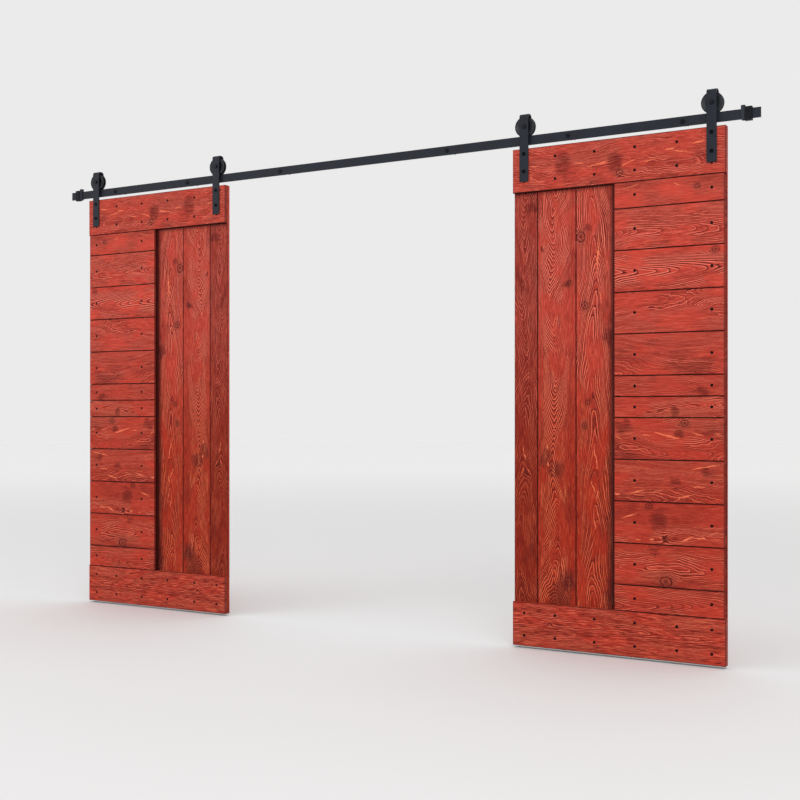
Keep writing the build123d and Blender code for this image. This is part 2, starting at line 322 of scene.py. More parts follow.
class StainColours(bpy.types.PropertyGroup):
    """Colours of the red stain on the pine, and of its dark joints and painted shade"""

    ground: FloatVectorProperty(
        name="Ground", description="Stain on plain wood", subtype="COLOR", size=4,
        default=(0.485, 0.0495, 0.0305, 1),
    )
    low_ground: FloatVectorProperty(
        name="Low ground", description="Ground colour at the foot", subtype="COLOR", size=4,
        default=(0.352, 0.0222, 0.0085, 1),
    )
    dark: FloatVectorProperty(
        name="Smudge", description="Stain that soaked in deeper", subtype="COLOR", size=4,
        default=(0.1, 0.0085, 0.0065, 1),
    )
    ring: FloatVectorProperty(
        name="Ring", description="Bright line of a growth ring", subtype="COLOR", size=4,
        default=(0.9, 0.18, 0.122, 1),
    )
    low_ring: FloatVectorProperty(
        name="Low ring", description="Ring colour at the foot", subtype="COLOR", size=4,
        default=(0.75, 0.118, 0.048, 1),
    )
    streak: FloatVectorProperty(
        name="Streak", description="Resin streak that took less stain", subtype="COLOR", size=4,
        default=(0.9, 0.2, 0.09, 1),
    )
    # Colour of the dark joints and of the painted shade on chamfers, undersides, sides, inner ends, beside
    # the horizontal planks and under the top board
    joint_and_shade_colour: FloatVectorProperty(
        name="Joint And Shade Colour", description="Stain gathered in corners", subtype="COLOR", size=4,
        default=(0.03, 0.004, 0.004, 1),
    )


class BlackFinishes(bpy.types.PropertyGroup):
    """Colours of the black metal, nylon and rubber"""

    coat: FloatVectorProperty(
        name="Powder coat", description="Rail and straps", subtype="COLOR", size=4,
        default=(0.014, 0.017, 0.026, 1),
    )
    bolt: FloatVectorProperty(
        name="Bolts", description="Strap bolts, plank screws and set screws", subtype="COLOR", size=4,
        default=(0.002, 0.0025, 0.003, 1),
    )
    axle: FloatVectorProperty(
        name="Axle bolts", description="Bolts that carry the wheels", subtype="COLOR", size=4,
        default=(0.0045, 0.0055, 0.009, 1),
    )
    nylon: FloatVectorProperty(
        name="Nylon", description="Wheels", subtype="COLOR", size=4,
        default=(0.004, 0.005, 0.008, 1),
    )
    stop: FloatVectorProperty(
        name="End stops", description="Clamped blocks and lag screws", subtype="COLOR", size=4,
        default=(0.0035, 0.0045, 0.0075, 1),
    )
    rubber: FloatVectorProperty(
        name="Rubber", description="Bumpers of the end stops", subtype="COLOR", size=4,
        default=(0.028, 0.033, 0.045, 1),
    )


class PlankScrewSizes(bpy.types.PropertyGroup):
    """Sizes and places of the countersunk plank screws"""

    head_radius: FloatProperty(
        name="Head radius", description="Radius of a head", unit="LENGTH", default=0.006
    )
    proud: FloatProperty(
        name="Proud", description="How far a head stands out of the plank", unit="LENGTH", default=0.0003
    )
    sunk: FloatProperty(name="Sunk", description="Length of the head's cone", unit="LENGTH", default=0.004)
    shank_radius: FloatProperty(
        name="Shank radius", description="Radius where the cone meets the shank", unit="LENGTH", default=0.002
    )
    rim: FloatProperty(name="Rim", description="Width of the sloping rim", unit="LENGTH", default=0.0006)
    dish: FloatProperty(name="Dish", description="Depth of the dished face", unit="LENGTH", default=0.0002)
    recess: FloatProperty(
        name="Recess", description="Radius of the driver recess", unit="LENGTH", default=0.0022
    )
    row: FloatProperty(
        name="Rows", description="From a board's edges to its screw rows", unit="LENGTH", default=0.0455
    )
    outer: FloatProperty(
        name="Outer columns", description="From the leaf's edges to the screws", unit="LENGTH", default=0.054
    )
    inner: FloatProperty(
        name="Inner column", description="From the inner ends of the horizontal planks to their screws",
        unit="LENGTH", default=0.087,
    )


class StageSizes(bpy.types.PropertyGroup):
    """Floor and camera"""

    floor_gap: FloatProperty(
        name="Floor gap", description="Air under the leaves", unit="LENGTH", default=0.01
    )
    lens: FloatProperty(
        name="Lens", description="Focal length on a 36 mm sensor", unit="CAMERA", default=53.31
    )


def stain():
    """The colours of the stain, as the scene holds them."""
    return bpy.context.scene.barn_door_stain


def black():
    """The black colours, as the scene holds them."""
    return bpy.context.scene.barn_door_black


# Shader building
def fill(tree, sockets, values):
    """Gives input sockets their values, or links them to other nodes' outputs."""
    for key, value in values.items():
        if isinstance(value, bpy.types.NodeSocket):
            tree.links.new(value, sockets[key])
        else:
            sockets[key].default_value = value


def add(tree, kind, values, **settings):
    """Adds a node with its settings and its inputs."""
    made = tree.nodes.new(kind)
    for name, value in settings.items():
        setattr(made, name, value)
    fill(tree, made.inputs, values)
    return made


def calc(tree, operation, *values):
    """The result of one math node."""
    return add(tree, "ShaderNodeMath", dict(enumerate(values)), operation=operation).outputs[0]


def chain(tree, operation, first, *others):
    """One operation on two values, then on its result and the next value, and so on."""
    for other in others:
        first = calc(tree, operation, first, other)
    return first


def total(tree, *values):
    return chain(tree, "ADD", *values)


def product(tree, *values):
    return chain(tree, "MULTIPLY", *values)


def strongest(tree, *values):
    return chain(tree, "MAXIMUM", *values)


def squared(tree, value):
    return calc(tree, "MULTIPLY", value, value)


def swing(tree, value, height):
    """A noise, which lies about 0.5, made to swing about zero."""
    return product(tree, calc(tree, "SUBTRACT", value, 0.5), height)


def mix(tree, amount, first, second, blend_type="MIX"):
    """Two colours mixed, by the sockets that the Mix node has for colours."""
    factor, colour_a, colour_b, mixed = 0, 6, 7, 2
    values = {factor: amount, colour_a: first, colour_b: second}
    return add(tree, "ShaderNodeMix", values, data_type="RGBA", blend_type=blend_type).outputs[mixed]


def ramp(tree, value, low, high, start=0.0, end=1.0):
    """Goes smoothly from start to end while the value goes from low to high."""
    values = {"Value": value, "From Min": low, "From Max": high, "To Min": start, "To Max": end}
    return add(tree, "ShaderNodeMapRange", values, interpolation_type="SMOOTHSTEP").outputs[0]


def vector(tree, x, y, z):
    return add(tree, "ShaderNodeCombineXYZ", {"X": x, "Y": y, "Z": z}).outputs[0]


def grey(tree, value):
    return vector(tree, value, value, value)


def parts_of(tree, source):
    """The X, Y and Z of a vector."""
    return add(tree, "ShaderNodeSeparateXYZ", {"Vector": source}).outputs


def noise(tree, along, across, depth, seed, detail=2.0, roughness=0.5):
    """Noise from three coordinates that already hold their own scales, its own for every seed."""
    apart = calc(tree, "MULTIPLY_ADD", seed, SEED_STRIDE, depth)
    values = {"Vector": vector(tree, along, across, apart), "Scale": 1.0}
    return add(tree, "ShaderNodeTexNoise", values | {"Detail": detail, "Roughness": roughness}).outputs[0]


def plank_noise(tree, place, along, across, seed, detail=2.0, roughness=0.5):
    """Noise on a plank, with one scale along its grain and another across it."""
    scales = {"Along": along, "Across": across, "Depth": across}
    coordinates = [product(tree, place[name], scale) for name, scale in scales.items()]
    return noise(tree, *coordinates, seed, detail, roughness)


def shared_group(name, inputs, outputs, build):
    """A shader node group with named sockets, built once and then reused."""
    tree = bpy.data.node_groups.get(name)
    if tree:
        return tree
    tree = bpy.data.node_groups.new(name, "ShaderNodeTree")
    kinds = {float: "NodeSocketFloat", tuple: "NodeSocketColor"}
    for socket_name, default in inputs.items():
        socket = tree.interface.new_socket(socket_name, in_out="INPUT", socket_type=kinds[type(default)])
        socket.default_value = default
    for socket_name, kind in outputs.items():
        tree.interface.new_socket(socket_name, in_out="OUTPUT", socket_type=kinds[kind])
    results = build(tree, tree.nodes.new("NodeGroupInput").outputs)
    fill(tree, tree.nodes.new("NodeGroupOutput").inputs, results)
    return tree


def place_group(tree, group, values):
    """Puts a shared group in a material and gives back its outputs."""
    made = add(tree, "ShaderNodeGroup", {}, node_tree=group)
    fill(tree, made.inputs, values)
    return made.outputs


# Wood
def leaf_place_group():
    """Where a point lies on its leaf, alike on both leaves, and which way its face looks."""

    def build(tree, _):
        source = add(tree, "ShaderNodeTexCoord", {})
        x, y, z = parts_of(tree, source.outputs["Object"])
        sideways, backwards, upwards = parts_of(tree, source.outputs["Normal"])
        sizes = [calc(tree, "ABSOLUTE", part) for part in (sideways, backwards, upwards)]
        return {
            "S": calc(tree, "SUBTRACT", calc(tree, "ABSOLUTE", x), INNER_EDGE),
            "V": calc(tree, "SUBTRACT", LEAF_TOP, z),
            "Depth": calc(tree, "SUBTRACT", y, LEAF_FRONT),
            "Front": ramp(tree, product(tree, backwards, -1.0), *FACING),
            "Chamfer": ramp(tree, strongest(tree, *sizes), 0.97, 0.8),
            "Side": ramp(tree, sizes[0], *FACING),
            "Down": ramp(tree, product(tree, upwards, -1.0), *FACING),
        }

    names = ("S", "V", "Depth", "Front", "Chamfer", "Side", "Down")
    return shared_group("Leaf place", {}, {name: float for name in names}, build)


def knot_group():
    """A knot: how it lifts the rings round it, and its dark rim, heart and halo."""

    def build(tree, given):
        along = product(tree, calc(tree, "SUBTRACT", given["Along"], given["Knot Along"]), KNOT_SQUEEZE)
        across = calc(tree, "SUBTRACT", given["Across"], given["Knot Across"])
        distance = calc(tree, "SQRT", total(tree, squared(tree, along), squared(tree, across)))
        wobble = plank_noise(tree, given, 45.0, 60.0, seed=3.0)
        distance = calc(tree, "DIVIDE", distance, given["Radius"])
        distance = total(tree, distance, swing(tree, wobble, KNOT_WOBBLE))
        fall = calc(tree, "EXPONENT", product(tree, squared(tree, distance), KNOT_FALL))
        heart = ramp(tree, distance, 0.75, 0.2, end=0.75)
        rim = product(tree, ramp(tree, distance, 0.82, 0.98), ramp(tree, distance, 1.24, 1.08))
        halo = ramp(tree, distance, 2.6, 0.9, end=0.3)
        lift = product(tree, fall, given["Radius"], KNOT_LIFT)
        return {"Lift": lift, "Dark": strongest(tree, rim, heart, halo)}

    inputs = PLACE | {"Knot Along": 0.0, "Knot Across": 0.0, "Radius": 0.01}
    return shared_group("Knot", inputs, {"Lift": float, "Dark": float}, build)


def mark_group():
    """One mark on a plank: a flame with a sharp edge, and a round smudge with a soft one."""

    def build(tree, given):
        along = calc(tree, "SUBTRACT", given["Along"], given["Mark Along"])
        across = calc(tree, "SUBTRACT", given["Across"], given["Mark Across"])
        across = calc(tree, "SUBTRACT", across, product(tree, along, given["Slope"]))
        wobble = plank_noise(tree, given, 45.0, 90.0, seed=5.0, detail=3.0, roughness=0.6)
        drift = plank_noise(tree, given, 22.0, 40.0, seed=9.0, detail=3.0, roughness=0.65)
        lengthwise = squared(tree, calc(tree, "DIVIDE", along, given["Half Length"]))
        flame_side, smudge_side = [
            calc(tree, "DIVIDE", total(tree, across, swing(tree, pattern, height)), given["Half Width"])
            for pattern, height in ((wobble, FLAME_SWING), (drift, SMUDGE_SWING))
        ]
        edge = total(tree, lengthwise, calc(tree, "ABSOLUTE", flame_side))
        spread = total(tree, lengthwise, squared(tree, smudge_side))
        return {"Flame": ramp(tree, edge, 1.2, 0.75), "Smudge": ramp(tree, spread, 2.2, 0.0)}

    inputs = PLACE | {
        "Mark Along": 0.0, "Mark Across": 0.0, "Half Length": 0.02, "Half Width": 0.004, "Slope": 0.0,
    }
    return shared_group("Mark", inputs, {"Flame": float, "Smudge": float}, build)


def ring_group():
    """Growth rings as nested arches that lie along the axis of a plank.

    Count grows by one from each ring to the next, and Closeness is how many rings there are in a metre."""

    def build(tree, given):
        def count_at(along, across):
            place = {"Along": along, "Across": across, "Depth": given["Depth"]}
            waves = []
            for scale_along, scale_across, height in RING_WAVES:
                wave = plank_noise(tree, place, scale_along, scale_across, given["Seed"], detail=1.0)
                waves.append(product(tree, swing(tree, wave, height), given["Warp"]))
            bend, swell, quiver = waves
            run = calc(tree, "ABSOLUTE", calc(tree, "SUBTRACT", along, given["Turn"]))
            aside = total(tree, calc(tree, "SUBTRACT", across, given["Axis"]), bend)
            arch = calc(tree, "SQRT", total(tree, squared(tree, aside), squared(tree, given["Rounding"])))
            arch = calc(tree, "MULTIPLY_ADD", arch, calc(tree, "DIVIDE", arch, STRAIGHTENING), arch)
            sloped = product(tree, run, given["Slope"])
            radius = total(tree, sloped, arch, given["Lift"], swell, quiver, given["Depth"])
            return calc(tree, "DIVIDE", radius, given["Spacing"]), calc(tree, "ABSOLUTE", aside)

        here, aside = count_at(given["Along"], given["Across"])
        onward, _ = count_at(total(tree, given["Along"], RING_STEP), given["Across"])
        beside, _ = count_at(given["Along"], total(tree, given["Across"], RING_STEP))
        rises = [calc(tree, "SUBTRACT", there, here) for there in (onward, beside)]
        squares = [squared(tree, calc(tree, "DIVIDE", rise, RING_STEP)) for rise in rises]
        return {
            "Count": here,
            "Closeness": calc(tree, "SQRT", total(tree, *squares)),
            "Inside": ramp(tree, calc(tree, "DIVIDE", aside, given["Band"]), 1.3, 0.7),
        }

    inputs = PLACE | {
        "Seed": 0.0, "Axis": 0.0, "Rounding": 0.01, "Slope": 0.1, "Turn": 0.0, "Spacing": 0.012,
        "Warp": 1.0, "Band": 0.3, "Lift": 0.0,
    }
    outputs = {"Count": float, "Closeness": float, "Inside": float}
    return shared_group("Growth rings", inputs, outputs, build)


def ring_lines(tree, given, fibre, patches):
    """The bright crest of each ring and the dark hollow beside it."""
    ring = calc(tree, "FRACT", given["Count"])
    number = total(tree, calc(tree, "FLOOR", given["Count"]), product(tree, given["Seed"], 7.3))
    weight = add(tree, "ShaderNodeTexWhiteNoise", {"W": number}, noise_dimensions="1D").outputs["Value"]
    half = calc(tree, "MINIMUM", product(tree, given["Closeness"], LINE_HALF_WIDTH), LINE_LIMIT)
    inner, outer, reach = [product(tree, half, share) for share in (0.6, 1.4, 3.8)]
    aside = calc(tree, "SUBTRACT", ring, LINE_PLACE)
    crest = ramp(tree, calc(tree, "ABSOLUTE", aside), outer, inner)
    hollow = product(tree, ramp(tree, aside, inner, outer), ramp(tree, aside, reach, outer))
    shown = product(
        tree,
        given["Lines"],
        ramp(tree, patches, 0.38, 0.56, start=0.1, end=1.25),
        ramp(tree, fibre, 0.4, 0.54, start=0.55, end=1.3),
    )
    uneven = ramp(tree, weight, 0.0, 0.75, start=0.25, end=1.1)
    return product(tree, crest, shown, uneven), product(tree, hollow, shown)


def stained_pine_group():
    """Red stain on sawn pine: smudges, fibres, ring lines, resin streaks and knots, with dark joints and
    painted shade.
    """

    def build(tree, given):
        def grain_noise(along, across, offset, detail=3.0, roughness=0.6):
            seed = total(tree, given["Seed"], offset)
            return plank_noise(tree, given, along, across, seed, detail, roughness)

        fibre = grain_noise(20.0, 300.0, 0.0, roughness=0.65)
        hair = grain_noise(26.0, 800.0, 0.0, detail=2.0, roughness=0.5)
        strand = grain_noise(1.6, 42.0, 0.91)
        patches = grain_noise(6.0, 13.0, 0.37, detail=2.0, roughness=0.5)
        smudge = grain_noise(3.4, 8.0, 0.71, detail=5.0, roughness=0.62)
        resin = grain_noise(7.0, 48.0, 0.13)
        flow_along, flow_across = product(tree, given["Along"], 9.0), product(tree, given["Count"], 1.5)
        flow = noise(tree, flow_along, flow_across, 0.0, total(tree, given["Seed"], 0.5), detail=3.0)
        crest, hollow = ring_lines(tree, given, fibre, patches)

        colour = mix(tree, ramp(tree, smudge, 0.52, 0.68, end=0.55), given["Ground"], given["Dark"])
        shade = product(
            tree,
            given["Tone"],
            ramp(tree, patches, 0.3, 0.7, start=1.2, end=0.88),
            ramp(tree, hair, 0.3, 0.7, start=0.86, end=1.14),
            ramp(tree, strand, 0.3, 0.7, start=0.93, end=1.07),
        )
        colour = mix(tree, 1.0, colour, grey(tree, shade), "MULTIPLY")
        for pattern, low, high, most, tint in (
            (flow, 0.46, 0.34, 0.3, "Dark"),
            (flow, 0.55, 0.68, 0.3, "Ring"),
            (fibre, 0.46, 0.36, 0.8, "Dark"),
            (fibre, 0.55, 0.65, 0.7, "Ring"),
        ):
            amount = product(tree, ramp(tree, pattern, low, high, end=most), given["Grain"])
            colour = mix(tree, amount, colour, given[tint])

        streaks = product(
            tree,
            given["Streaks"],
            ramp(tree, resin, 0.56, 0.66),
            ramp(tree, crest, 0.0, 0.35, start=0.08),
        )
        fine = ramp(tree, fibre, 0.36, 0.5, start=0.38, end=0.95)
        lit = product(tree, strongest(tree, streaks, given["Flames"]), fine)
        soaked = product(tree, given["Smudges"], ramp(tree, fibre, 0.36, 0.56, start=0.85, end=0.5))
        for amount, tint in (
            (hollow, "Dark"),
            (crest, "Ring"),
            (soaked, "Dark"),
            (lit, "Streak"),
            (given["Knots"], "Dark"),
            # Dark joints and painted shade
            (given["Dark Joints And Painted Shade"], "Joint And Shade Colour"),
        ):
            colour = mix(tree, amount, colour, given[tint])

        heights = ((crest, 0.5), (fibre, 0.6), (given["Knots"], -0.4))
        return {
            "Color": colour,
            "Roughness": ramp(tree, fibre, 0.2, 0.8, start=0.66, end=0.5),
            "Height": total(tree, *[product(tree, pattern, height) for pattern, height in heights]),
        }

    white = (1.0, 1.0, 1.0, 1.0)
    inputs = PLACE | {
        "Seed": 0.0, "Count": 0.0, "Closeness": 80.0, "Tone": 1.0, "Grain": 0.5, "Lines": 1.0,
        "Streaks": 0.5, "Knots": 0.0, "Flames": 0.0, "Smudges": 0.0, "Dark Joints And Painted Shade": 0.0, "Ground": white,
        "Dark": white, "Ring": white, "Streak": white, "Joint And Shade Colour": white,
    }
    outputs = {"Color": tuple, "Roughness": float, "Height": float}
    return shared_group("Stained pine", inputs, outputs, build)


def finished_material(name, outputs_of, bump, specular):
    """A material whose shader takes its colour, roughness and relief from the nodes that outputs_of adds."""
    material = bpy.data.materials.new(name)
    material.use_nodes = True
    tree = material.node_tree
    made = outputs_of(tree)
    relief = add(tree, "ShaderNodeBump", {"Distance": bump, "Height": made["Height"]})
    values = {
        "Base Color": made["Color"],
        "Roughness": made["Roughness"],
        "Normal": relief.outputs[0],
        "Specular IOR Level": specular,
    }
    fill(tree, tree.nodes["Principled BSDF"].inputs, values)
    return material


def knots_on(tree, place, knots):
    """How far the knots of a plank lift its rings, and how dark they are."""
    names = ("Knot Along", "Knot Across", "Radius")
    lift, dark = 0.0, 0.0
    for knot in knots:
        made = place_group(tree, knot_group(), place | dict(zip(names, knot)))
        lift = total(tree, lift, made["Lift"])
        dark = strongest(tree, dark, made["Dark"])
    return lift, dark


def marks_on(tree, place, marks, shape):
    """How strongly the marks of a plank show, each as a Flame or as a Smudge."""
    names = ("Mark Along", "Mark Across", "Half Length", "Half Width", "Slope")
    shown = 0.0
    for mark in marks:
        made = place_group(tree, mark_group(), place | dict(zip(names, mark)))
        shown = strongest(tree, shown, made[shape])
    return shown


def rings_on(tree, place, figure, lift):
    """The growth rings of a plank."""
    names = ("Seed", "Axis", "Rounding", "Slope", "Turn", "Spacing", "Warp", "Band")
    values = {name: getattr(figure, name.lower()) for name in names}
    return place_group(tree, ring_group(), place | values | {"Lift": lift})


def joints_and_shade_of_plank(tree, spot, from_edge, upright):
    """Dark joints on a plank, and painted shade on its chamfers, its underside, its sides and its inner end.
    """
    joint_darkness = 0.6 if upright else 0.85
    side_darkness = 0.06 if upright else 0.42
    chamfer_darkness = 0.95
    joint = ramp(tree, from_edge, *AT_JOINT, end=joint_darkness)
    # Painted shade on the inner end of a horizontal plank, darker with depth
    end = calc(tree, "COMPARE", spot["S"], COLUMN_EDGE, END_REACH)
    end = product(tree, end, ramp(tree, spot["Depth"], *END_DEPTHS, end=0.55))
    # Dark joints on the front face, and painted shade on chamfers, undersides and sides
    return strongest(
        tree,
        product(tree, joint, spot["Front"]),
        product(tree, spot["Chamfer"], chamfer_darkness),
        product(tree, spot["Down"], chamfer_darkness),
        product(tree, spot["Side"], total(tree, end, side_darkness)),
    )


def painted_shade_beside_front_layer(tree, spot, foot):
    """Painted shade on the vertical planks beside the horizontal planks, and a painted shadow under the top
    board.
    """
    line_darkness = 0.9
    # Painted shade beside the horizontal planks, wider at the foot
    far, near = BESIDE_COLUMN
    start = calc(tree, "MULTIPLY_ADD", foot, -WIDER_AT_FOOT, COLUMN_EDGE - far)
    beside = ramp(tree, spot["S"], start, COLUMN_EDGE - near, end=line_darkness)
    inside = calc(tree, "LESS_THAN", spot["S"], COLUMN_EDGE)
    # Painted shadow under the top board: a dark line and a softer fade below it
    below = calc(tree, "SUBTRACT", spot["V"], BOARD_HEIGHT)
    line = ramp(tree, below, *LINE_UNDER_BOARD, end=line_darkness)
    shadow = ramp(tree, below, *UNDER_BOARD, end=0.35)
    return product(tree, strongest(tree, product(tree, beside, inside), line, shadow), spot["Front"])


def plank_material(name, upright):
    """The stained pine of one plank, the same on both leaves."""
    figure = FIGURES[name]
    low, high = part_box(f"right_{name}")
    middle_s = (low.x + high.x) / 2 - INNER_EDGE
    middle_v = LEAF_TOP - (low.z + high.z) / 2
    half_width = (high.x - low.x if upright else high.z - low.z) / 2

    def outputs_of(tree):
        spot = place_group(tree, leaf_place_group(), {})
        along, across, middle = ("V", "S", middle_s) if upright else ("S", "V", middle_v)
        place = {
            "Along": spot[along],
            "Across": calc(tree, "SUBTRACT", spot[across], middle),
            "Depth": spot["Depth"],
        }
        lift, dark = knots_on(tree, place, figure.knots)
        rings = rings_on(tree, place, figure, lift)
        lines = product(tree, rings["Inside"], figure.lines)
        foot_share = 1.0 if upright else 0.52
        foot = ramp(tree, spot["V"], *FOOT, end=foot_share)
        from_edge = calc(tree, "SUBTRACT", half_width, calc(tree, "ABSOLUTE", place["Across"]))
        # Dark joints and painted shade on this plank, and on the vertical planks also the painted shade
        # beside the front layer
        joints_and_painted_shade = joints_and_shade_of_plank(tree, spot, from_edge, upright)
        if upright:
            joints_and_painted_shade = strongest(tree, joints_and_painted_shade, painted_shade_beside_front_layer(tree, spot, foot))
        colours = {
            "Ground": mix(tree, foot, stain().ground, stain().low_ground),
            "Dark": stain().dark,
            "Ring": mix(tree, foot, stain().ring, stain().low_ring),
            "Streak": stain().streak,
            "Joint And Shade Colour": stain().joint_and_shade_colour,
        }
        values = {
            "Seed": figure.seed,
            "Count": rings["Count"],
            "Closeness": rings["Closeness"],
            # Painted light: side faces are made at least as light as the side tone, whatever the plank's own
            # tone
            "Tone": ramp(tree, spot["Side"], 0.0, 1.0, figure.tone, max(figure.tone, PAINTED_SIDE_LIGHT)),
            "Grain": figure.grain,
            "Lines": calc(tree, "MULTIPLY_ADD", dark, KNOT_LINES, lines),
            "Streaks": figure.streaks,
            "Knots": dark,
            "Flames": marks_on(tree, place, figure.flames, "Flame"),
            "Smudges": marks_on(tree, place, figure.smudges, "Smudge"),
            "Dark Joints And Painted Shade": joints_and_painted_shade,
        }
        return place_group(tree, stained_pine_group(), place | values | colours)

    return finished_material(f"stained_{name}", outputs_of, bump=0.0006, specular=0.1)


# Black finishes
def coat_group():
    """Black coating: faint blotches, a fine pebbled skin, dust on top and a painted highlight on slanting
    faces.
    """

    def build(tree, given):
        source = add(tree, "ShaderNodeTexCoord", {})
        spot = source.outputs["Object"]
        _, backwards, up = parts_of(tree, source.outputs["Normal"])
        facing = calc(tree, "ABSOLUTE", backwards)
        slant = product(tree, ramp(tree, facing, 0.8, 0.88), ramp(tree, facing, 0.98, 0.95))
        blotches = {"Vector": spot, "Scale": 18.0, "Detail": 3.0}
        blotch = add(tree, "ShaderNodeTexNoise", blotches).outputs[0]
        pebbles = {"Vector": spot, "Scale": given["Pebbles"], "Detail": 1.0}
        skin = add(tree, "ShaderNodeTexNoise", pebbles).outputs[0]
        shade = ramp(tree, blotch, 0.3, 0.7, start=0.85, end=1.15)
        colour = mix(tree, 1.0, given["Ground"], grey(tree, shade), "MULTIPLY")
        colour = mix(tree, product(tree, ramp(tree, up, 0.6, 1.0), given["Dust"]), colour, DUST)
        # Painted highlight on faces that slant away from the front
        colour = mix(tree, product(tree, slant, given["Slant Highlight"]), colour, PAINTED_SLANT_HIGHLIGHT)
        uneven = ramp(tree, blotch, 0.3, 0.7, start=-0.05, end=0.05)
        return {"Color": colour, "Roughness": total(tree, given["Dullness"], uneven), "Height": skin}

    ground = (0.0, 0.0, 0.0, 1.0)
    inputs = {"Ground": ground, "Pebbles": 900.0, "Dust": 0.05, "Dullness": 0.5, "Slant Highlight": 0.0}
    outputs = {"Color": tuple, "Roughness": float, "Height": float}
    return shared_group("Black coating", inputs, outputs, build)


def black_material(
    name, ground, pebbles=900.0, dust=0.04, dullness=0.5, bump=0.0001, specular=0.22, slant_highlight=0.0
):
    """One of the black finishes: how fine its pebbles are, how dusty, dull and rough it is, and how strong
    the painted highlight on its slanting faces is.
    """

    def outputs_of(tree):
        values = {"Ground": ground, "Pebbles": pebbles, "Dust": dust}
        values |= {"Dullness": dullness, "Slant Highlight": slant_highlight}
        return place_group(tree, coat_group(), values)

    return finished_material(name, outputs_of, bump, specular)


def dress(material, *names):
    """Puts a material on CAD nodes."""
    for name in names:
        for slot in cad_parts[name].material_slots:
            slot.material = material


def on_each_leaf(*names):
    """The nodes of both leaves that go by these names."""
    return [f"{side}_{name}" for side in SIDES for name in names]


def dress_planks(names, upright):
    """Gives each of these planks its own figure, on both leaves."""
    for name in names:
        dress(plank_material(name, upright), *on_each_leaf(name))


# Pieces
class BARNDOOR_OT_vertical_planks(bpy.types.Operator):
    """Stain the vertical planks of both back layers"""

    bl_idname = "barn_door.vertical_planks"
    bl_label = "Vertical planks"

    def execute(self, context):
        dress_planks([f"back_plank_{number}" for number in BACK_PLANKS], upright=True)
        return {"FINISHED"}


class BARNDOOR_OT_horizontal_planks(bpy.types.Operator):
    """Stain the horizontal planks of both front layers"""

    bl_idname = "barn_door.horizontal_planks"
    bl_label = "Horizontal planks"

    def execute(self, context):
        dress_planks([f"front_plank_{number}" for number in FRONT_PLANKS], upright=False)
        return {"FINISHED"}


class BARNDOOR_OT_boards(bpy.types.Operator):
    """Stain the boards across the top and the bottom of both leaves"""

    bl_idname = "barn_door.boards"
    bl_label = "Top and bottom boards"

    def execute(self, context):
        dress_planks(["top_board", "bottom_board"], upright=False)
        return {"FINISHED"}


def screw_places(sizes):
    """Where the plank screws of a leaf are, as s and v."""
    outer_column = LEAF_WIDTH - sizes.outer
    inner_column = COLUMN_EDGE + sizes.inner
    only_on_boards = (0.195, 0.370, 0.719)
    columns = sorted([sizes.outer, *only_on_boards, inner_column, outer_column])
    places = []
    for node in ("right_top_board", "right_bottom_board"):
        low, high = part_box(node)
        rows = (LEAF_TOP - high.z + sizes.row, LEAF_TOP - low.z - sizes.row)
        places += [(s, v) for v in rows for s in columns]
    for number in FRONT_PLANKS:
        low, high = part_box(f"right_front_plank_{number}")
        places += [(s, LEAF_TOP - (low.z + high.z) / 2) for s in (inner_column, outer_column)]
    return places


def add_screw_head(mesh, spot, sizes):
    """A countersunk head with a sloping rim, a dished face and a round driver recess."""
    front = sizes.proud - sizes.sunk / 2
    facing_front = Matrix.Translation(spot) @ Matrix.Rotation(math.radians(90), 4, "X")
    head = bmesh.ops.create_cone(
        mesh,
        cap_ends=True,
        segments=24,
        radius1=sizes.shank_radius,
        radius2=sizes.head_radius,
        depth=sizes.sunk,
        matrix=facing_front @ Matrix.Translation((0, 0, front)),
    )
    faces = {face for vert in head["verts"] for face in vert.link_faces}
    face = min(faces, key=lambda each: each.calc_center_median().y)
    steps = (
        (sizes.rim, sizes.rim / 4),
        (sizes.head_radius - sizes.rim - sizes.recess, -sizes.dish),
        (sizes.recess / 8, -sizes.proud / 2),
    )
    for thickness, depth in steps:
        bmesh.ops.inset_individual(mesh, faces=[face], thickness=thickness, depth=depth)


class BARNDOOR_OT_plank_screws(bpy.types.Operator):
    """Add the black countersunk screws of both leaves"""

    bl_idname = "barn_door.plank_screws"
    bl_label = "Plank screws"

    def execute(self, context):
        sizes = context.scene.barn_door_screws
        finish = black_material(
            "black_screw", black().bolt, pebbles=1500.0, dust=0.0, dullness=0.4, bump=0.00003,
            specular=0.08,
        )
        for side, sign in zip(SIDES, (-1, 1)):
            mesh = bmesh.new()
            for s, v in screw_places(sizes):
                add_screw_head(mesh, (sign * (INNER_EDGE + s), LEAF_FRONT, LEAF_TOP - v), sizes)
            data = bpy.data.meshes.new(f"{side}_plank_screws")
            mesh.to_mesh(data)
            mesh.free()
            data.materials.append(finish)
            piece = bpy.data.objects.new(f"{side}_plank_screws", data)
            context.scene.collection.objects.link(piece)
            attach(piece, f"{side}_leaf")
        return {"FINISHED"}


class BARNDOOR_OT_rail(bpy.types.Operator):
    """Finish the rail, its spacers and its lag screws"""

    bl_idname = "barn_door.rail"
    bl_label = "Rail"

    def execute(self, context):
        dress(black_material("rail_coat", black().coat), "rail_bar", "rail_spacers")
        dress(black_material("lag_screw_black", black().stop, dullness=0.4, specular=0.15), "lag_screws")
        return {"FINISHED"}


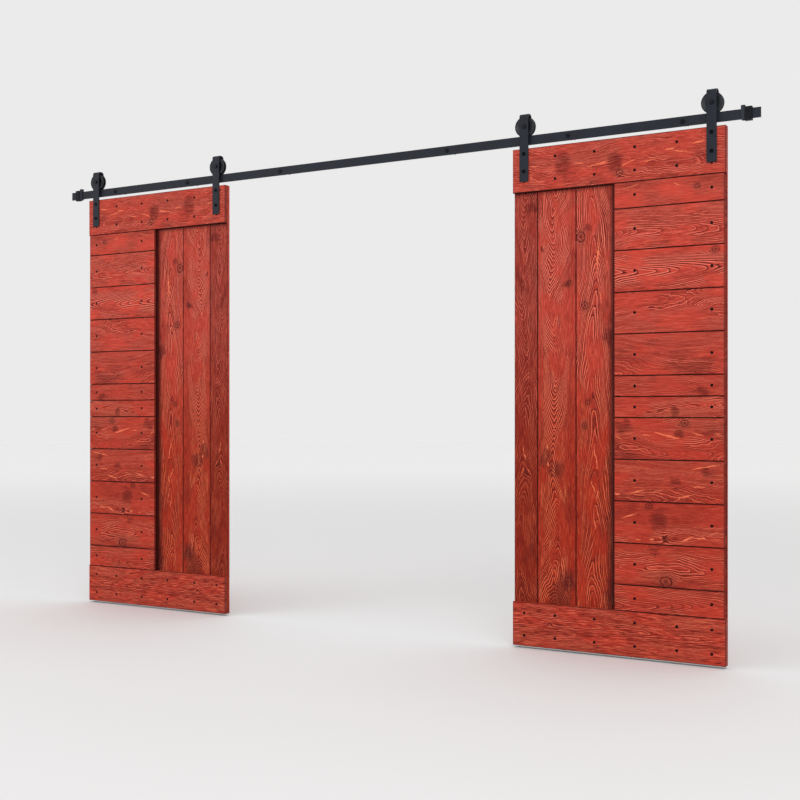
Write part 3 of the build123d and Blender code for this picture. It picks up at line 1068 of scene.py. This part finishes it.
class BARNDOOR_OT_hangers(bpy.types.Operator):
    """Finish the straps over the wheels and their bolts"""

    bl_idname = "barn_door.hangers"
    bl_label = "Hangers"

    def execute(self, context):
        straps = on_each_leaf(*[f"{which}_strap" for which in WHICH])
        dress(black_material("strap_coat", black().coat, dullness=0.45), *straps)
        dress(black_material("axle_coat", black().axle, dullness=0.4), *on_each_leaf("axle_bolts"))
        bolts = black_material("strap_bolt_black", black().bolt, dullness=0.35, specular=0.08)
        dress(bolts, *on_each_leaf("strap_bolts"))
        return {"FINISHED"}


class BARNDOOR_OT_wheels(bpy.types.Operator):
    """Finish the wheels and the inner rings of their bearings"""

    bl_idname = "barn_door.wheels"
    bl_label = "Wheels"

    def execute(self, context):
        # The wheels get a painted highlight on their slanting faces
        nylon = black_material(
            "wheel_nylon", black().nylon, pebbles=400.0, dust=0.02, dullness=0.4, bump=0.00002,
            specular=0.3, slant_highlight=0.15,
        )
        dress(nylon, *on_each_leaf(*[f"{which}_wheel" for which in WHICH]))
        steel = black_material(
            "bearing_steel", BEARING_STEEL, pebbles=300.0, dust=0.0, dullness=0.3, bump=0.00002,
            specular=0.5,
        )
        steel.node_tree.nodes["Principled BSDF"].inputs["Metallic"].default_value = 1.0
        dress(steel, *on_each_leaf("bearing_rings"))
        return {"FINISHED"}


class BARNDOOR_OT_end_stops(bpy.types.Operator):
    """Finish the end stops, their set screws and their bumpers"""

    bl_idname = "barn_door.end_stops"
    bl_label = "End stops"

    def execute(self, context):
        dress(black_material("stop_coat", black().stop, specular=0.18), "end_stops")
        dress(black_material("set_screw_black", black().bolt, dullness=0.35), "stop_set_screws")
        rubber = black_material(
            "bumper_rubber", black().rubber, pebbles=250.0, dust=0.05, dullness=0.8, bump=0.0002,
            specular=0.2,
        )
        dress(rubber, "stop_bumpers")
        return {"FINISHED"}


# Stage, in metres, with the camera's turn in degrees
FLOOR_RADIUS = 40.0
FLOOR_PALES_BETWEEN = (4.0, 16.0)
DAYLIGHT = (0.835, 0.83, 0.83, 1)
LIT_SPOT = (0.0, 0.0, -1.0)
CAMERA_SPOT = (2.8936, -4.7304, -1.1702)
CAMERA_TURN = 29.73
CAMERA_SHIFT = 0.0162


def add_area_light(name, spot, size, power):
    """A round soft light that shines at the middle between the leaves."""
    data = bpy.data.lights.new(name, "AREA")
    data.shape = "DISK"
    data.size = size
    data.energy = power
    light = bpy.data.objects.new(name, data)
    light.location = spot
    light.rotation_euler = (Vector(LIT_SPOT) - Vector(spot)).to_track_quat("-Z", "Y").to_euler()
    bpy.context.scene.collection.objects.link(light)


def pale_floor_material():
    """A pale matt floor that gets a little paler far out: painted light that brings the far floor up to the
    brightness of the background.
    """
    pale = bpy.data.materials.new("pale_floor")
    pale.use_nodes = True
    tree = pale.node_tree
    source = add(tree, "ShaderNodeTexCoord", {})
    away = add(tree, "ShaderNodeVectorMath", {0: source.outputs["Object"]}, operation="LENGTH")
    paleness = ramp(tree, away.outputs["Value"], *FLOOR_PALES_BETWEEN, start=0.86)
    values = {"Base Color": grey(tree, paleness), "Roughness": 0.7, "Specular IOR Level": 0.05}
    fill(tree, tree.nodes["Principled BSDF"].inputs, values)
    return pale


def add_floor(scene):
    """The floor, a little under the leaves."""
    mesh = bmesh.new()
    height = Matrix.Translation((0, 0, LEAF_BOTTOM - scene.barn_door_stage.floor_gap))
    bmesh.ops.create_circle(mesh, cap_ends=True, segments=64, radius=FLOOR_RADIUS, matrix=height)
    data = bpy.data.meshes.new("floor")
    mesh.to_mesh(data)
    mesh.free()
    data.materials.append(pale_floor_material())
    floor = bpy.data.objects.new("floor", data)
    scene.collection.objects.link(floor)


def add_daylight(scene):
    """Soft light from all round, with two large lights in front."""
    world = bpy.data.worlds.new("soft_daylight")
    world.use_nodes = True
    tree = world.node_tree
    fill(tree, tree.nodes["Background"].inputs, {"Color": DAYLIGHT, "Strength": 1.0})
    scene.world = world
    scene.view_settings.view_transform = "Standard"
    add_area_light("window_light", (4.5, -6.0, 3.0), size=4.0, power=110)
    add_area_light("fill_light", (-4.5, -5.0, 2.0), size=5.0, power=50)


def add_camera(scene):
    """A level camera at the photograph's viewing angle."""
    lens = bpy.data.cameras.new("camera")
    lens.lens = scene.barn_door_stage.lens
    lens.shift_y = CAMERA_SHIFT
    camera = bpy.data.objects.new("camera", lens)
    camera.location = CAMERA_SPOT
    camera.rotation_euler = (math.radians(90), 0, math.radians(CAMERA_TURN))
    scene.collection.objects.link(camera)
    scene.camera = camera


class BARNDOOR_OT_stage(bpy.types.Operator):
    """Add the pale floor, the soft light and the camera"""

    bl_idname = "barn_door.stage"
    bl_label = "Stage"

    def execute(self, context):
        add_floor(context.scene)
        add_daylight(context.scene)
        add_camera(context.scene)
        return {"FINISHED"}


# Panel and registering
OPERATORS = (
    BARNDOOR_OT_vertical_planks,
    BARNDOOR_OT_horizontal_planks,
    BARNDOOR_OT_boards,
    BARNDOOR_OT_plank_screws,
    BARNDOOR_OT_rail,
    BARNDOOR_OT_hangers,
    BARNDOOR_OT_wheels,
    BARNDOOR_OT_end_stops,
    BARNDOOR_OT_stage,
)
SETTINGS = {
    "barn_door_stain": StainColours,
    "barn_door_black": BlackFinishes,
    "barn_door_screws": PlankScrewSizes,
    "barn_door_stage": StageSizes,
}


class BARNDOOR_PT_sidebar(bpy.types.Panel):
    """Settings and pieces of the barn door"""

    bl_idname = "BARNDOOR_PT_sidebar"
    bl_label = "Barn Door"
    bl_space_type = "VIEW_3D"
    bl_region_type = "UI"
    bl_category = "Barn Door"

    def draw(self, context):
        for name, group in SETTINGS.items():
            box = self.layout.box()
            box.label(text=group.__doc__)
            for key in group.__annotations__:
                box.prop(getattr(context.scene, name), key)
        for operator in OPERATORS:
            self.layout.operator(operator.bl_idname)


def register():
    for made in (*SETTINGS.values(), *OPERATORS, BARNDOOR_PT_sidebar):
        bpy.utils.register_class(made)
    for name, group in SETTINGS.items():
        setattr(bpy.types.Scene, name, PointerProperty(type=group))


def unregister():
    for name in SETTINGS:
        delattr(bpy.types.Scene, name)
    for made in (BARNDOOR_PT_sidebar, *reversed(OPERATORS), *reversed(SETTINGS.values())):
        bpy.utils.unregister_class(made)


def main():
    register()
    bpy.ops.barn_door.vertical_planks()
    bpy.ops.barn_door.horizontal_planks()
    bpy.ops.barn_door.boards()
    bpy.ops.barn_door.plank_screws()
    bpy.ops.barn_door.rail()
    bpy.ops.barn_door.hangers()
    bpy.ops.barn_door.wheels()
    bpy.ops.barn_door.end_stops()
    bpy.ops.barn_door.stage()


if __name__ == "__main__":
    main()
